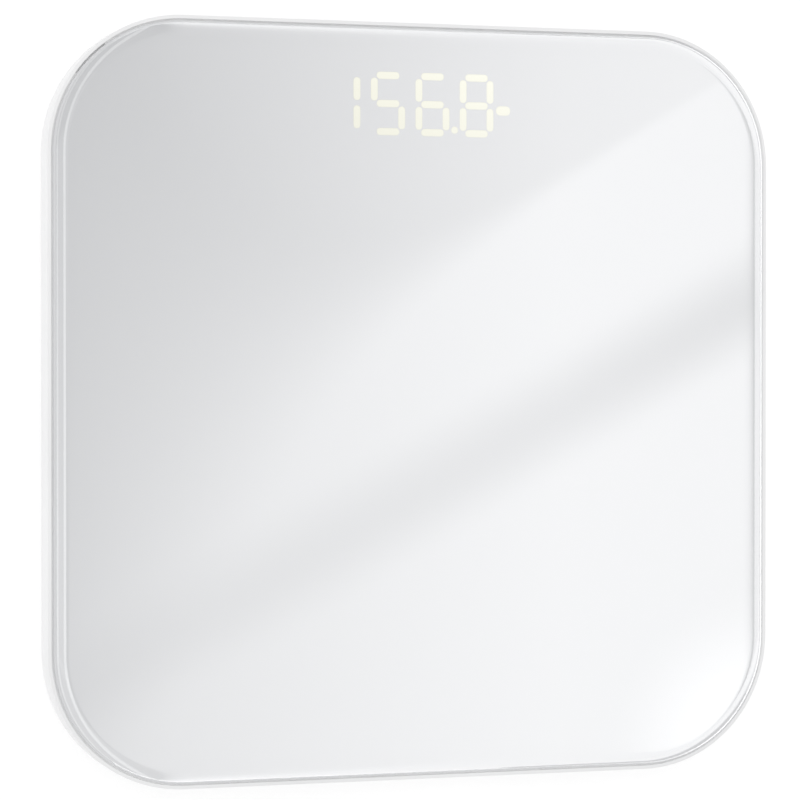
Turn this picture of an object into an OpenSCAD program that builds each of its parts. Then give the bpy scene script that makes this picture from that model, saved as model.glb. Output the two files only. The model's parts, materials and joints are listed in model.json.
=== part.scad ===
// Digital bathroom scale: a tempered glass platform on a moulded tray, carried by four
// load cells with floating feet. The origin is at the centre of the footprint, on the floor.
// +X is to the user's right, +Y towards the display edge and +Z up out of the glass.

/* [Platform] */
// Width of the scale
scale_w = 280; // [270:1:310]
// Depth of the scale
scale_d = 280; // [274:1:310]
// Height from the floor to the top of the glass
total_h = 22; // [22:0.5:25]
// Corner radius of the tray, seen from above
corner_r = 50; // [46:1:54]
// Thickness of the glass
glass_t = 5; // [4.5:0.1:5]
// How far in from its edge the top of the glass starts to curve down
shoulder_w = 5; // [3:0.5:6]
// How far the curved edge of the glass drops
shoulder_drop = 2.8; // [2:0.1:3]

/* [Tray] */
// Thickness of the lip around the glass
lip_t = 1.3; // [1:0.1:1.6]
// Gap between the glass and the lip
glass_gap = 0.7; // [0.5:0.1:1]
// Thickness of the side walls
wall_t = 2; // [1.8:0.1:2.2]
// Radius of the bottom edge of the tray
bottom_r = 4; // [3:0.5:5]

/* [Display] */
// Height of a digit
digit_h = 23.1; // [20:0.1:24]
// Width of a digit
digit_w = 13; // [12:0.1:14]
// Distance from one digit to the next
digit_pitch = 17.3; // [16.8:0.1:17.6]
// Width of a light bar
bar_w = 2.4; // [2:0.1:2.6]

/* [Feet] */
// Distance from the centre of the scale to a foot, along X and along Y
foot_x = 98; // [96:0.5:100]
// Diameter of the rubber pad of a foot
pad_d = 34; // [28:1:34]
// How far a foot lifts before its boss seats under the load cell
foot_travel = 0.6; // [0.3:0.1:0.7]

/* [Button] */
// Diameter of the unit button
button_d = 10; // [8:0.5:11]

/* [Hidden] */
corners = [
    ["front_left", -1, -1],
    ["front_right", 1, -1],
    ["rear_left", -1, 1],
    ["rear_right", 1, 1]
];

$fn = 48;
// Overlap that makes two solids of one node into one
eps = 0.01;
// Length by which a cut runs past what it cuts
past = 1;

// Heights of the stack, from the floor up
floor_z = 3;
floor_t = 2;
inside_z = floor_z + floor_t;
glass_z = total_h - glass_t;
rim_z = total_h - shoulder_drop;
film_t = 0.2;
tape_t = 0.6;
film_z = glass_z - film_t;
shelf_z = film_z - tape_t;
shelf_t = 2;
shelf_in = 8;
shelf_inner_w = scale_w - 2 * shelf_in;
shelf_inner_d = scale_d - 2 * shelf_in;
draft = 0.2;
lip_round = 0.3;

// Stiffening of the tray: gussets under the shelf and ribs on the floor
gusset_pitch = 36;
bite = 0.3;
rib_top = 12;
rib_h = rib_top - inside_z;
rib_t = 1.5;
long_rib_y = [-62, -30, 40];
long_rib_x = [-62, 62];
short_rib_x = [-31, 0, 31];
low_rib_y = [-100, 90];
low_rib_l = 124;
low_rib_h = 3;
side_rib_x = 92;
side_rib_l = 101;

// Underside: a label recess and a groove that runs round it
label_w = 90;
label_d = 42;
label_y = -78;
label_r = 4;
label_depth = 0.3;
groove_in = 13;
groove_w = 1.2;
groove_depth = 0.5;

// Footprint of the glass
glass_w = scale_w - 2 * (lip_t + glass_gap);
glass_d = scale_d - 2 * (lip_t + glass_gap);
glass_r = corner_r - lip_t - glass_gap;
film_in = 1;
glass_arris = 0.3;

// The glass's shoulder is a quarter of an ellipse, from the top face down to the side
shoulder_steps = 9;
corner_fn = 96;

// Feet, load cells and their brackets
foot_y = foot_x + (scale_d - scale_w) / 2;
well_d = 38;
cup_d = well_d - 1;
ring_in = 42;
ring_out = 45;
ring_top = 9;
flange_d = 41;
pad_recess = 0.8;
cup_z = 1.8;
flange_z = inside_z + 0.2;
flange_t = 1.2;
boss_d = 8;
cell_z = 10;
cell_t = 1.6;
cell_w = 34;
boss_top = cell_z - foot_travel - 0.2;
gauge_t = 0.8;
bracket_w = 38.4;
bracket_bore = 27;
cup_web_z = cup_z + 2.2;
cup_rib_t = 1.2;
pad_edge = 0.8;
ear_x = 26;
ear_t = 1.6;
ear_post_d = 6;

// Screws
screw_d = 2;
pilot_d = 2.1;
screw_hole_d = 2.6;
head_d = 4;
head_h = 1.2;
slot_l = 2.4;
slot_w = 0.6;

// Display block, near the rear edge
display_y = scale_d / 2 - 30;
digit_x = [for (k = [0:3]) -29.8 + k * digit_pitch];
point_at = [digit_x[2] + digit_pitch / 2, -9.2];
unit_at = [digit_x[3] + 10.5, -1.6];
display_w = 80;
display_d = 32;
display_board_z = 8;
display_board_t = 1.6;
display_board_w = 92;
display_board_d = 34;
housing_z = display_board_z + display_board_t;
diffuser_t = 0.3;
housing_top = film_z - 0.2 - diffuser_t;
display_post_x = 43;
display_post_y = 12;
board_post_d = 5;
point_d = 2.4;
unit_mark_l = 5.4;
chip_long = 1.6;
chip_short = 0.8;
chip_h = 0.6;

// Main board
board_y = 69;
board_w = 64;
board_d = 34;
board_z = 11.8;
board_t = 1.2;
board_top = board_z + board_t;
board_post_x = 27;
board_post_y = 14;
connector_x = 28;
connector_y = 7;
connector_w = 7;
connector_d = 5;
connector_h = 3;
pin_gap = 0.1;
pin_h = 0.4;
ribbon_w = 16;
ribbon_t = 0.3;

// Unit button and the switch that it presses
button_x = 16;
button_y = 62;
button_travel = 0.5;
stem_top = 7.4;
button_flange_d = button_d + 3.4;
button_play = 1;
button_dish_d = button_d + 6;
plunger_h = 1.9;
plunger_d = 3.4;
switch_w = 6;
switch_z = 8.4;

// Battery bay, with three AAA cells side by side along X
aaa_d = 10.5;
aaa_l = 44.5;
aaa_pitch = 11.2;
bay_y = 8;
bay_x = 25.5;
bay_half = 17.1;
bay_wall = 1.4;
bay_roof = 15.8;
bay_roof_t = 0.8;
bay_frame_w = 64;
bay_frame_d = 46;
nub_d = 3.6;
nub_h = 0.8;
contact_t = 0.4;
contact_w = 9;
contact_h = 8;
spring_r = 3.4;
spring_wire_r = 0.35;
spring_turns = 4;
battery_z = inside_z + 0.2 + aaa_d / 2;
spring_len = 2 * (bay_x - contact_t) - aaa_l;
door_x = 28.5;
door_t = 1.8;
door_gap = 0.4;
hinge_y = bay_y - 19.6;
hinge_z = 4.4;
barrel_r = 1.4;
barrel_x = [14, 24];
hinge_pin_r = 0.8;
hinge_bore_r = 0.9;
latch_y = bay_y + 20.4;
latch_w = 10;
latch_h = 5.4;
latch_t = 1.2;
ridge_pitch = 2;

// Posts that hold up the middle of the glass
posts = [
    [-42, -60], [42, -60], [0, -95], [-42, 30], [42, 30], [-92, 0], [92, 0], [-70, 60], [70, 60]
];
post_d = 10;
post_top = shelf_z - 0.4;

// Routes of the load cell leads, for the corner at -X: across the ribs to the main board.
// The last point is in the connector.
route_front = [
    [-98, -85, 12.9], [-98, -76, 13.4], [-92, -64, 13.4], [-80, -50, 13.4], [-66, -38, 13.4],
    [-56, -22, 13.4], [-50, -4, 13.4], [-48, 14, 13.4], [-48, 32, 13.4], [-46, 46, 13.6],
    [-42, 56, 14.2], [-38, 61, 14.6], [-32, 62, 14.6]
];
route_rear = [
    [-98, 111, 12.9], [-92, 117, 13.2], [-80, 114, 13.4], [-70, 104, 13.4], [-62, 92, 13.4],
    [-54, 82, 13.6], [-46, 77, 14.2], [-40, 76, 14.6], [-32, 76, 14.6]
];
lead_r = 1;
route_power = [
    [24, 28, 13.4], [26, 33, 13.4], [27, 40, 13.4], [26, 46, 13.6], [22, 51, 13.9], [18, 56, 14]
];
power_r = 0.7;

// ---------- shapes that repeat ----------

// Plan outline with round corners, centred
module round_rect(w, d, r) {
    square([w - 2 * r, d], center = true);
    square([w, d - 2 * r], center = true);
    for (x = [-1, 1], y = [-1, 1])
        translate([x * (w / 2 - r), y * (d / 2 - r)]) circle(r = r, $fn = corner_fn);
}

// Solid plate with round corners, from z up by h
module round_plate(w, d, r, z, h) {
    translate([0, 0, z]) linear_extrude(h) round_rect(w, d, r);
}

// Box centred in X and Y, from z up by h
module block(w, d, z, h) {
    translate([-w / 2, -d / 2, z]) cube([w, d, h]);
}

// One point of an outline with round corners, at a corner's angle, drawn in by inset
function outline_point(w, d, r, level, quarter, a) =
    let (
        sx = quarter == 0 || quarter == 3 ? 1 : -1,
        sy = quarter < 2 ? 1 : -1,
        reach = r - level[1]
    )
    [sx * (w / 2 - r) + reach * cos(a), sy * (d / 2 - r) + reach * sin(a), level[0]];

// Solid whose round-cornered outline changes level by level; levels = [[z, inset], ...]
module stacked(w, d, r, levels) {
    steps = corner_fn / 4;
    ring = 4 * (steps + 1);
    last = (len(levels) - 1) * ring;
    polyhedron(
        points = [
            for (level = levels, q = [0:3], k = [0:steps])
                outline_point(w, d, r, level, q, 90 * (q + k / steps))
        ],
        faces = concat(
            [[for (k = [0:ring - 1]) k]],
            [[for (k = [ring - 1:-1:0]) last + k]],
            [
                for (i = [0:len(levels) - 2], k = [0:ring - 1])
                    let (a = i * ring + k, b = i * ring + (k + 1) % ring)
                    [a, a + ring, b + ring, b]
            ]
        ),
        convexity = 4
    );
}

// Upright post
module post(d, z, top) {
    translate([0, 0, z]) cylinder(d = d, h = top - z);
}

// Pan-head screw with its head on z
module screw(z, length) {
    difference() {
        union() {
            translate([0, 0, z]) cylinder(d = head_d, h = head_h);
            translate([0, 0, z - length]) cylinder(d = screw_d, h = length + eps);
        }
        block(slot_l, slot_w, z + head_h / 2, head_h);
        block(slot_w, slot_l, z + head_h / 2, head_h);
    }
}

// Place children at a corner's load cell; the cell is turned to face the middle
module at_corner(c) {
    translate([c[1] * foot_x, c[2] * foot_y, 0]) rotate(c[2] > 0 ? 180 : 0) children();
}

// Round tube swept along points, with a ring square to the path at each point. The path
// never runs along lean, which sets how the rings are turned.
function unit(v) = v / norm(v);
function tangent(p, i) = unit(p[min(i + 1, len(p) - 1)] - p[max(i - 1, 0)]);
function ring_point(p, i, r, a, lean) =
    let (
        t = tangent(p, i),
        side = unit(cross(t, lean)),
        up = cross(side, t)
    )
    p[i] + r * (cos(a) * side + sin(a) * up);

module tube(points, r, sides, lean = [0, 0, 1]) {
    n = len(points);
    polyhedron(
        points = [
            for (i = [0:n - 1], k = [0:sides - 1])
                ring_point(points, i, r, 360 * k / sides, lean)
        ],
        faces = concat(
            [[for (k = [sides - 1:-1:0]) k]],
            [[for (k = [0:sides - 1]) (n - 1) * sides + k]],
            [
                for (i = [0:n - 2], k = [0:sides - 1])
                    let (a = i * sides + k, b = i * sides + (k + 1) % sides)
                    [a, b, b + sides, a + sides]
            ]
        ),
        convexity = 6
    );
}

// The same route on the other side
function mirrored(route) = [for (p = route) [-p[0], p[1], p[2]]];

// One light bar's outline: a strip with round ends, along X
module bar(length) {
    square([length - bar_w, bar_w], center = true);
    for (s = [-1, 1]) translate([s * (length - bar_w) / 2, 0]) circle(d = bar_w);
}

// Seven bars of a digit, the decimal point and the unit mark, all round the display's centre
bar_x = (digit_w - bar_w) / 2;
bar_y = (digit_h - bar_w) / 2;
bar_across = 2 * bar_x - bar_w * 0.85;
bar_along = bar_y - bar_w * 0.9;

module digit_bars() {
    for (row = [-1, 0, 1]) translate([0, row * bar_y]) bar(bar_across);
    for (sx = [-1, 1], sy = [-1, 1])
        translate([sx * bar_x, sy * bar_y / 2]) rotate(90) bar(bar_along);
}

module display_marks() {
    for (x = digit_x) translate([x, 0]) digit_bars();
    translate(point_at) circle(d = point_d);
    translate(unit_at) bar(unit_mark_l);
}

// ---------- tray ----------

tray_levels = concat(
    [for (a = [90:-10:0]) [floor_z + bottom_r * (1 - sin(a)), draft + bottom_r * (1 - cos(a))]],
    [[rim_z - lip_round, 0], [rim_z - lip_round / 3, lip_round / 3], [rim_z, lip_round]]
);

module tray_shell() {
    difference() {
        stacked(scale_w, scale_d, corner_r, tray_levels);
        round_plate(
            glass_w + 2 * glass_gap, glass_d + 2 * glass_gap, glass_r + glass_gap, shelf_z, total_h
        );
        round_plate(shelf_inner_w, shelf_inner_d, corner_r - shelf_in, inside_z, total_h);
        round_plate(
            scale_w - 2 * wall_t, scale_d - 2 * wall_t, corner_r - wall_t,
            inside_z, shelf_z - shelf_t - inside_z
        );
    }
}

// Gussets that hold up the shelf under the edge of the glass
module gussets() {
    reach = shelf_in - wall_t + 2 * bite;
    height = shelf_z - inside_z - shelf_t / 2;
    for (side = [-1, 1], k = [-2:2]) {
        translate([side * (shelf_inner_w / 2 + reach / 2 - bite), k * gusset_pitch, 0])
            block(reach, rib_t, inside_z - eps, height);
        translate([k * gusset_pitch, side * (shelf_inner_d / 2 + reach / 2 - bite), 0])
            block(rib_t, reach, inside_z - eps, height);
    }
}

module floor_ribs() {
    z = inside_z - eps;
    front_y = -shelf_inner_d / 2;
    front_rib_end = long_rib_y[1];
    for (y = long_rib_y) translate([0, y, 0]) block(shelf_inner_w - 2, rib_t, z, rib_h);
    for (x = long_rib_x) translate([x, 0, 0]) block(rib_t, shelf_inner_d - 2, z, rib_h);
    for (y = low_rib_y) translate([0, y, 0]) block(low_rib_l, rib_t, z, low_rib_h);
    for (x = short_rib_x)
        translate([x, (front_y + front_rib_end) / 2, 0])
            block(rib_t, front_rib_end - front_y - 1, z, rib_h);
    for (sx = [-1, 1]) translate([sx * side_rib_x, 0, 0]) block(rib_t, side_rib_l, z, rib_h);
}

module foot_wells() {
    for (c = corners) at_corner(c) {
        post(ring_out, inside_z - eps, ring_top);
        for (s = [-1, 1]) translate([s * ear_x, 0, 0]) post(ear_post_d, inside_z - eps, ring_top);
    }
}

module foot_well_cuts() {
    for (c = corners) at_corner(c) {
        translate([0, 0, inside_z]) cylinder(d = ring_in, h = total_h, $fn = corner_fn);
        translate([0, 0, -past]) cylinder(d = well_d, h = total_h, $fn = corner_fn);
        for (s = [-1, 1])
            translate([s * ear_x, 0, inside_z + 0.5]) cylinder(d = pilot_d, h = total_h);
    }
}

// Frame, walls and roof of the battery bay
module bay_body() {
    translate([0, bay_y, 0]) {
        block(bay_frame_w, bay_frame_d, inside_z - eps, bay_wall);
        block(
            2 * (bay_x + bay_wall), 2 * (bay_half + bay_wall), inside_z, bay_roof + bay_roof_t - inside_z
        );
    }
}

module bay_cuts() {
    groove_y = hinge_y - barrel_r - door_gap;
    translate([0, bay_y, 0]) block(2 * bay_x, 2 * bay_half, 0, bay_roof);
    // Opening that the door fills
    translate([-door_x - door_gap, groove_y, 0])
        cube([2 * (door_x + door_gap), latch_y + door_gap - groove_y, inside_z]);
    // Groove above the hinge
    translate([-barrel_x[1] - door_gap, groove_y, 0])
        cube([2 * (barrel_x[1] + door_gap), 2 * (barrel_r + door_gap) + 0.1, 6.6]);
    // Slot for the latch arm
    translate([-latch_w / 2 - 1, latch_y - latch_t - 0.6, 0]) cube([latch_w + 2, latch_t + 2.2, 7]);
    // Scoop for a fingertip
    translate([-latch_w / 2 - 3, latch_y - 1, floor_z - past]) cube([latch_w + 6, 5, 1 + past]);
}

// Ears that hold the door's hinge pins
module hinge_ears() {
    for (s = [-1, 1])
        translate([s * (barrel_x[1] + door_gap + 2), hinge_y, 0]) block(4, 3.6, floor_z, 2.8);
}

module hinge_bores() {
    for (s = [-1, 1])
        translate([s * (barrel_x[1] + 1.4), hinge_y, hinge_z]) rotate([0, 90, 0])
            cylinder(r = hinge_bore_r, h = 3, center = true);
}

module button_guide() {
    translate([button_x, button_y, 0]) post(button_d + 7, inside_z - eps, inside_z + 1.8);
}

module button_cuts() {
    translate([button_x, button_y, -past]) cylinder(d = button_d + button_play, h = inside_z + 5);
    translate([button_x, button_y, inside_z]) cylinder(d = button_flange_d + button_play, h = 5);
    // Shallow dish around the button
    translate([button_x, button_y, floor_z - past]) cylinder(d = button_dish_d, h = past + 0.5);
}

module board_posts() {
    for (sx = [-1, 1], sy = [-1, 1]) {
        translate([sx * board_post_x, board_y + sy * board_post_y, 0])
            post(board_post_d, inside_z - eps, board_z);
        translate([sx * display_post_x, display_y + sy * display_post_y, 0])
            post(board_post_d, inside_z - eps, display_board_z);
    }
    for (p = posts) translate([p[0], p[1], 0]) post(post_d, inside_z - eps, post_top);
}

module board_pilots() {
    for (sx = [-1, 1], sy = [-1, 1]) {
        translate([sx * board_post_x, board_y + sy * board_post_y, inside_z])
            cylinder(d = pilot_d, h = 12);
        translate([sx * display_post_x, display_y + sy * display_post_y, inside_z])
            cylinder(d = pilot_d, h = 12);
    }
}

// Recessed panel on the underside, where the rating label goes
module label_recess() {
    translate([0, label_y, 0])
        round_plate(label_w, label_d, label_r, floor_z - past, label_depth + past);
}

// Groove that runs round the underside, in from the edge
module underside_groove() {
    far_in = groove_in + groove_w;
    difference() {
        round_plate(
            scale_w - 2 * groove_in, scale_d - 2 * groove_in, corner_r - groove_in,
            floor_z - past, groove_depth + past
        );
        round_plate(
            scale_w - 2 * far_in, scale_d - 2 * far_in, corner_r - far_in,
            floor_z - 2 * past, groove_depth + 3 * past
        );
        for (c = corners) at_corner(c) post(well_d + 10, 0, total_h);
    }
}

module base_tray() {
    color("white") difference() {
        union() {
            difference() {
                union() {
                    tray_shell();
                    gussets();
                    floor_ribs();
                    foot_wells();
                    bay_body();
                    button_guide();
                    board_posts();
                }
                foot_well_cuts();
                bay_cuts();
                button_cuts();
                board_pilots();
                label_recess();
                underside_groove();
            }
            hinge_ears();
        }
        hinge_bores();
    }
}

// ---------- glass and what holds it ----------

module glass_platform() {
    rising = [
        for (k = [shoulder_steps:-1:0])
            let (a = 90 * k / shoulder_steps)
            [total_h - shoulder_drop * (1 - cos(a)), shoulder_w * (1 - sin(a))]
    ];
    color([0.93, 0.94, 0.95])
        stacked(
            glass_w, glass_d, glass_r,
            concat([[glass_z, glass_arris], [glass_z + glass_arris, 0]], rising)
        );
}

// White print on the back of the glass
module print_film() {
    color("ghostwhite")
        round_plate(
            glass_w - 2 * film_in, glass_d - 2 * film_in, glass_r - film_in, film_z, film_t
        );
}

// Foam tape between the shelf and the glass
module glass_adhesive() {
    color("gainsboro")
        difference() {
            round_plate(glass_w - 3, glass_d - 3, glass_r - 1.5, shelf_z, tape_t);
            round_plate(
                shelf_inner_w + 1, shelf_inner_d + 1, corner_r - shelf_in + 0.5,
                shelf_z - past, tape_t + 2 * past
            );
        }
}

// Foam pads on the posts under the middle of the glass
module glass_pads() {
    color("gainsboro")
        for (p = posts)
            translate([p[0], p[1], post_top]) cylinder(d = post_d - 0.6, h = film_z - post_top);
}

// ---------- display ----------

module display_board() {
    color("darkgreen")
        translate([0, display_y, 0]) difference() {
            block(display_board_w, display_board_d, display_board_z, display_board_t);
            for (sx = [-1, 1], sy = [-1, 1])
                translate([sx * display_post_x, sy * display_post_y, 0])
                    cylinder(d = screw_hole_d, h = total_h);
        }
}

module display_housing() {
    color("whitesmoke")
        translate([0, display_y, housing_z]) difference() {
            linear_extrude(housing_top - housing_z) square([display_w, display_d], center = true);
            translate([0, 0, -past]) linear_extrude(total_h) display_marks();
        }
}

module led_light_bars() {
    color("ivory")
        translate([0, display_y, housing_z + chip_h + 0.2])
            linear_extrude(housing_top - housing_z - chip_h - 0.2) display_marks();
}

module led_chips() {
    color("gold")
        translate([0, display_y, 0]) {
            for (x = digit_x) translate([x, 0, 0]) {
                for (row = [-1, 0, 1])
                    translate([0, row * bar_y, 0]) block(chip_long, chip_short, housing_z, chip_h);
                for (sx = [-1, 1], sy = [-1, 1])
                    translate([sx * bar_x, sy * bar_y / 2, 0])
                        block(chip_short, chip_long, housing_z, chip_h);
            }
            translate(point_at) block(chip_short, 1.2, housing_z, chip_h);
            translate(unit_at) block(chip_long, chip_short, housing_z, chip_h);
        }
}

module display_diffuser() {
    color("white")
        translate([0, display_y, 0]) block(display_w - 2, display_d - 2, housing_top, diffuser_t);
}

module display_screws() {
    color("silver")
        for (sx = [-1, 1], sy = [-1, 1])
            translate([sx * display_post_x, display_y + sy * display_post_y, 0])
                screw(housing_z, 4);
}

// Flat cable that folds from under the display board to under the main board
module display_ribbon() {
    low = display_board_z;
    display_end = display_y - display_board_d / 2;
    board_end = board_y + board_d / 2;
    pad_l = 6;
    color("lightgray")
        translate([ribbon_w / 2, 0, 0]) rotate([90, 0, 90]) linear_extrude(ribbon_w)
            polygon([
                [display_end + pad_l, low - ribbon_t], [display_end + pad_l, low],
                [display_end - 1, low], [board_end - 1, board_z], [board_end - pad_l, board_z],
                [board_end - pad_l, board_z - ribbon_t], [board_end - 1.2, board_z - ribbon_t],
                [display_end - 1.2, low - ribbon_t]
            ]);
}

// ---------- main board ----------

module main_board() {
    color("seagreen")
        translate([0, board_y, 0]) difference() {
            block(board_w, board_d, board_z, board_t);
            for (sx = [-1, 1], sy = [-1, 1])
                translate([sx * board_post_x, sy * board_post_y, 0])
                    cylinder(d = screw_hole_d, h = total_h);
        }
}

module controller_chip() {
    color([0.12, 0.12, 0.13]) translate([-4, board_y + 6, 0]) {
        block(9, 9, board_top + pin_gap, 1.4);
        for (k = [-3:3], turn = [0:90:270])
            rotate(turn) translate([k * 1.2, 4.9, 0]) block(0.5, 1.4, board_top, pin_h);
    }
}

module weighing_chip() {
    color([0.15, 0.15, 0.16]) translate([-4, board_y - 8, 0]) {
        block(9.9, 3.9, board_top + pin_gap, 1.5);
        for (k = [-3.5:3.5]) translate([k * 1.27, 0, 0]) block(0.45, 6, board_top, pin_h);
    }
}

// Capacitors, resistors and the crystal
module board_components() {
    color("tan") translate([0, board_y, board_top]) {
        for (k = [0:4]) translate([8 + k * 3, 10, 0]) block(1.2, 2, 0, 0.6);
        for (k = [0:3]) translate([-16, -4 + k * 3, 0]) block(2, 1.2, 0, 0.6);
        translate([10, 3, 0]) block(11, 4, 0, 3);
        translate([6, -6, 0]) cylinder(d = 4, h = 3);
    }
}

module cell_connectors() {
    color("ivory")
        for (sx = [-1, 1], sy = [-1, 1])
            translate([sx * connector_x, board_y + sy * connector_y, 0]) difference() {
                block(connector_w, connector_d, board_top, connector_h);
                translate([sx * 2, 0, 0])
                    block(connector_w - 3, connector_d - 2, board_top + 0.5, connector_h - 0.8);
            }
}

module board_screws() {
    color("silver")
        for (sx = [-1, 1], sy = [-1, 1])
            translate([sx * board_post_x, board_y + sy * board_post_y, 0]) screw(board_top, 5);
}

module unit_switch_body() {
    color([0.2, 0.2, 0.2])
        translate([button_x, button_y, 0]) difference() {
            block(switch_w, switch_w, switch_z, board_z - switch_z);
            cylinder(d = plunger_d + 0.5, h = stem_top + plunger_h + button_travel + 0.4);
        }
}

module unit_switch_plunger() {
    color("black")
        translate([button_x, button_y, stem_top]) cylinder(d = plunger_d, h = plunger_h);
}

module unit_button() {
    color("gainsboro")
        translate([button_x, button_y, 0]) {
            translate([0, 0, floor_z + 0.2]) cylinder(d = button_d, h = 2);
            translate([0, 0, flange_z]) cylinder(d = button_flange_d, h = 0.8);
            translate([0, 0, flange_z]) cylinder(d = 4, h = stem_top - flange_z);
        }
}

// ---------- batteries ----------

// Place children at the middle of a row of the bay; the middle row faces the other way
module in_row(row) {
    translate([0, bay_y + row * aaa_pitch, battery_z]) rotate(row == 0 ? 180 : 0) children();
}

// AAA cell along X, with its nub at +X
module aaa_cell() {
    rotate([0, 90, 0]) {
        translate([0, 0, -aaa_l / 2]) cylinder(d = aaa_d, h = aaa_l - nub_h);
        cylinder(d = nub_d, h = aaa_l / 2);
    }
}

// The spring takes up the rest of the bay, so each cell is pushed to its plate
module battery(row) {
    color("steelblue") in_row(row) translate([spring_len / 2, 0, 0]) aaa_cell();
}

module battery_1() battery(-1);
module battery_2() battery(0);
module battery_3() battery(1);

// Conical coil along X: it narrows by 1 mm as it rises
function spring_point(t) =
    let (
        a = 360 * spring_turns * t,
        r = spring_r - t
    )
    [(spring_len - 2 * spring_wire_r) * t, r * cos(a), r * sin(a)];

module battery_springs() {
    steps = 9 * spring_turns;
    color("silver")
        for (row = [-1:1]) in_row(row) translate([-bay_x, 0, 0]) {
            rotate([0, 90, 0]) block(contact_h, contact_w, 0, contact_t);
            translate([contact_t + spring_wire_r - 0.15, 0, 0])
                tube([for (k = [0:steps]) spring_point(k / steps)], spring_wire_r, 6, [1, 0, 0]);
        }
}

module battery_plates() {
    color("silver")
        for (row = [-1:1]) in_row(row) translate([bay_x - contact_t, 0, 0])
            rotate([0, 90, 0]) block(contact_h, contact_w, 0, contact_t);
}

module battery_lead_red() {
    color("red") tube(route_power, power_r, 8);
}

module battery_lead_black() {
    color("black") tube(mirrored(route_power), power_r, 8);
}

// ---------- battery door ----------

module battery_door() {
    color("white")
        difference() {
            union() {
                translate([-door_x, hinge_y + 2.3, floor_z])
                    cube([2 * door_x, latch_y - hinge_y - 2.3, door_t]);
                for (s = [-1, 1])
                    translate([s * (barrel_x[0] + barrel_x[1]) / 2, hinge_y, hinge_z]) {
                        rotate([0, 90, 0])
                            cylinder(r = barrel_r, h = barrel_x[1] - barrel_x[0], center = true);
                        // The pin reaches outwards, into the ear beside the barrel
                        rotate([0, s * 90, 0]) cylinder(r = hinge_pin_r, h = 7.5);
                        translate([-5, 0, floor_z - hinge_z]) cube([10, 3, door_t]);
                    }
                translate([-latch_w / 2, latch_y - latch_t, floor_z]) cube([latch_w, latch_t, latch_h]);
            }
            // Grip ridges by the latch
            for (k = [0:3])
                translate([-6, latch_y - 4 - k * ridge_pitch, floor_z - 0.6]) cube([12, 0.8, 1]);
        }
}

module door_foam() {
    color("dimgray")
        translate([0, bay_y, 0]) block(40, 28, floor_z + door_t, 0.3);
}

// ---------- load cells ----------

// Stamped steel half-bridge cell: an outer frame and a tongue in its middle
module load_cell() {
    color("silver")
        difference() {
            block(cell_w, cell_w, cell_z, cell_t);
            // Slot round the tongue, open towards its neck
            difference() {
                translate([0, -1, 0]) block(20, 24, 0, total_h);
                translate([0, 4, 0]) block(14, 22, -past, total_h + 2 * past);
            }
            for (x = [-1, 1], y = [-1, 1])
                translate([x * 14, y * 14, 0]) cylinder(d = 2.4, h = total_h);
        }
}

// Gauge under its silicone coat, on the neck of the tongue
module strain_gauge() {
    color("whitesmoke") translate([0, 8.5, 0]) block(9, 5, cell_z + cell_t, gauge_t);
}

// Plastic frame that holds the outer frame of the cell down on the tray
module cell_bracket() {
    wall_top = cell_z + cell_t + 0.4;
    color([0.75, 0.76, 0.78])
        difference() {
            union() {
                block(bracket_w, bracket_w, ring_top, wall_top - ring_top);
                for (s = [-1, 1]) translate([s * ear_x, 0, 0]) {
                    post(ear_post_d + 1, ring_top, ring_top + ear_t);
                    translate([-s * 4, 0, 0]) block(8, ear_post_d + 1, ring_top, ear_t);
                }
            }
            block(cell_w + 0.4, cell_w + 0.4, cell_z, total_h);
            cylinder(d = bracket_bore, h = total_h);
            // Gap in the wall for the leads
            translate([0, 15, 0]) block(8, 10, cell_z, total_h);
            for (s = [-1, 1]) translate([s * ear_x, 0, 0]) cylinder(d = screw_hole_d, h = total_h);
        }
}

module bracket_screws() {
    color("silver")
        for (c = corners, s = [-1, 1])
            at_corner(c) translate([s * ear_x, 0, 0]) screw(ring_top + ear_t, 5);
}

module cell_wires(c) {
    route = c[2] < 0 ? route_front : route_rear;
    color("dimgray") tube(c[1] < 0 ? route : mirrored(route), lead_r, 8);
}

// ---------- feet ----------

module foot_cup() {
    color("lightgray") {
        difference() {
            union() {
                post(cup_d, cup_z, flange_z + eps);
                post(flange_d, flange_z, flange_z + flange_t);
            }
            translate([0, 0, cup_z - past]) cylinder(d = pad_d + 0.4, h = pad_recess + past);
            translate([0, 0, cup_web_z + 0.2]) cylinder(d = cup_d - 4, h = total_h);
        }
        post(boss_d, cup_web_z, boss_top);
        for (turn = [0, 90])
            rotate(turn) block(cup_d - 3, cup_rib_t, cup_web_z, flange_z + flange_t - cup_web_z);
    }
}

module foot_pad() {
    color([0.3, 0.31, 0.32]) {
        cylinder(r1 = pad_d / 2 - pad_edge, r2 = pad_d / 2, h = pad_edge, $fn = corner_fn);
        translate([0, 0, pad_edge])
            cylinder(d = pad_d, h = cup_z + pad_recess - pad_edge, $fn = corner_fn);
    }
}

// ---------- the parts ----------

base_tray();
glass_platform();
print_film();
glass_adhesive();
glass_pads();
display_board();
display_housing();
led_light_bars();
led_chips();
display_diffuser();
display_screws();
display_ribbon();
main_board();
controller_chip();
weighing_chip();
board_components();
cell_connectors();
board_screws();
unit_switch_body();
unit_switch_plunger();
unit_button();
battery_1();
battery_2();
battery_3();
battery_springs();
battery_plates();
battery_lead_red();
battery_lead_black();
battery_door();
door_foam();
bracket_screws();
for (c = corners) {
    at_corner(c) load_cell();
    at_corner(c) strain_gauge();
    at_corner(c) cell_bracket();
    cell_wires(c);
    at_corner(c) foot_cup();
    at_corner(c) foot_pad();
}
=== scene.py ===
"""Looks of a digital bathroom scale: white-backed glass on a moulded tray, with lit digits below."""
import json
import math

import bmesh
import bpy
from mathutils import Matrix, Vector


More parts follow.
